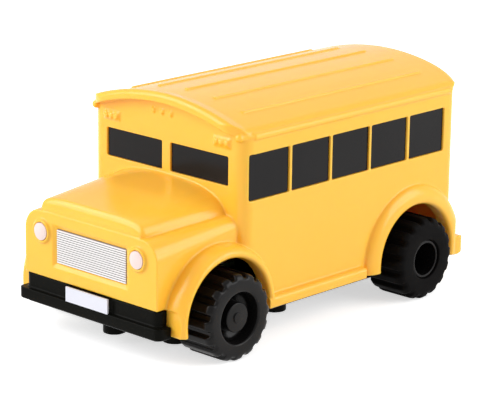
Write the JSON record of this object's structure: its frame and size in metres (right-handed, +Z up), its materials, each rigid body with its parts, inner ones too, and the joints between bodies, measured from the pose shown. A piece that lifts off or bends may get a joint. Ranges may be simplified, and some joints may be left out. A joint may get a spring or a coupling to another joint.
{
  "type": "line-following toy car",
  "caption": "Toy school bus that follows a drawn line: moulded shell on a chassis with geared motors, rolling wheels, sensor barrel and a slide switch underneath.",
  "frame": {"origin": "on the ground under the middle of the toy's outline", "axes": "-Y is the way the bus drives, +X is its left side, +Z is up"},
  "size_m": [0.0552, 0.0962, 0.052],
  "materials": {
    "yellow_plastic": "moulded, glossy",
    "window_black": "glossy black insert",
    "grille_silver": "pale silver, satin",
    "lamp_white": "milky, glossy",
    "plate_white": "bare, satin",
    "black_plastic": "moulded, semi-gloss",
    "wheel_black": "moulded, glossy",
    "tyre_rubber": "soft rubber, semi-matt",
    "knob_black": "moulded",
    "screw_steel": "zinc plated",
    "shaft_steel": "bright drawn",
    "motor_steel": "nickel plated",
    "switch_steel": "tinned",
    "cell_steel": "nickel plated",
    "contact_brass": "bright",
    "gear_nylon": "natural nylon",
    "board_green": "solder mask",
    "chip_resin": "cured resin drop",
    "emitter_clear": "clear resin",
    "receiver_dark": "dark resin"
  },
  "bodies": {
    "chassis": {"body_shell": "yellow_plastic", "windscreen_panes": "window_black", "left_side_windows": "window_black", "right_side_windows": "window_black", "rear_windows": "window_black", "grille": "grille_silver", "headlight_lenses": "lamp_white", "front_plate": "plate_white", "chassis": "black_plastic", "shell_screws": "screw_steel", "battery_cover": "black_plastic", "battery_cover_screw": "screw_steel", "left_button_cell": "cell_steel", "middle_button_cell": "cell_steel", "right_button_cell": "cell_steel", "positive_contact": "contact_brass", "negative_contact": "contact_brass", "power_switch_body": "switch_steel", "circuit_board": "board_green", "board_screws": "screw_steel", "controller_chip": "chip_resin", "infrared_emitter": "emitter_clear", "infrared_receiver": "receiver_dark", "gearbox_cover": "black_plastic", "gearbox_screws": "screw_steel", "left_motor_can": "motor_steel", "right_motor_can": "motor_steel", "left_motor_cap": "gear_nylon", "right_motor_cap": "gear_nylon", "left_idler_pin": "shaft_steel", "right_idler_pin": "shaft_steel"},
    "front_wheels": {"front_axle": "shaft_steel", "left_front_wheel": "wheel_black", "right_front_wheel": "wheel_black"},
    "left_rear_wheel": {"left_rear_tyre": "tyre_rubber", "left_rear_hub": "wheel_black", "left_rear_axle": "shaft_steel", "left_drive_gear": "gear_nylon"},
    "left_idler": {"left_idler_gear": "gear_nylon"},
    "left_rotor": {"left_motor_shaft": "shaft_steel", "left_motor_pinion": "contact_brass"},
    "right_rear_wheel": {"right_rear_tyre": "tyre_rubber", "right_rear_hub": "wheel_black", "right_rear_axle": "shaft_steel", "right_drive_gear": "gear_nylon"},
    "right_idler": {"right_idler_gear": "gear_nylon"},
    "right_rotor": {"right_motor_shaft": "shaft_steel", "right_motor_pinion": "contact_brass"},
    "switch_knob": {"power_switch_knob": "knob_black"}
  },
  "joints": [
    {"name": "front_axle_spin", "type": "hinge", "parent": "chassis", "child": "front_wheels", "pos_m": [0, -0.0303, 0.0094], "axis": [1, 0, 0], "continuous": true},
    {"name": "left_rear_wheel_spin", "type": "hinge", "parent": "chassis", "child": "left_rear_wheel", "pos_m": [0.022, 0.0303, 0.0094], "axis": [1, 0, 0], "continuous": true},
    {"name": "left_idler_spin", "type": "hinge", "parent": "chassis", "child": "left_idler", "pos_m": [0.0058, 0.02564, 0.01318], "axis": [1, 0, 0], "continuous": true},
    {"name": "left_rotor_spin", "type": "hinge", "parent": "chassis", "child": "left_rotor", "pos_m": [0.0058, 0.01599, 0.01488], "axis": [1, 0, 0], "continuous": true},
    {"name": "right_rear_wheel_spin", "type": "hinge", "parent": "chassis", "child": "right_rear_wheel", "pos_m": [-0.022, 0.0303, 0.0094], "axis": [1, 0, 0], "continuous": true},
    {"name": "right_idler_spin", "type": "hinge", "parent": "chassis", "child": "right_idler", "pos_m": [-0.0058, 0.02564, 0.01318], "axis": [1, 0, 0], "continuous": true},
    {"name": "right_rotor_spin", "type": "hinge", "parent": "chassis", "child": "right_rotor", "pos_m": [-0.0058, 0.01599, 0.01488], "axis": [1, 0, 0], "continuous": true},
    {"name": "power_switch_slide", "type": "slide", "parent": "chassis", "child": "switch_knob", "axis": [0, 1, 0], "range_m": [0, 0.002]}
  ],
  "couplings": [
    {"joint": "left_idler_spin", "follows": "left_rear_wheel_spin", "ratio": -2.3333},
    {"joint": "left_rotor_spin", "follows": "left_rear_wheel_spin", "ratio": 10.37},
    {"joint": "right_idler_spin", "follows": "right_rear_wheel_spin", "ratio": -2.3333},
    {"joint": "right_rotor_spin", "follows": "right_rear_wheel_spin", "ratio": 10.37}
  ]
}
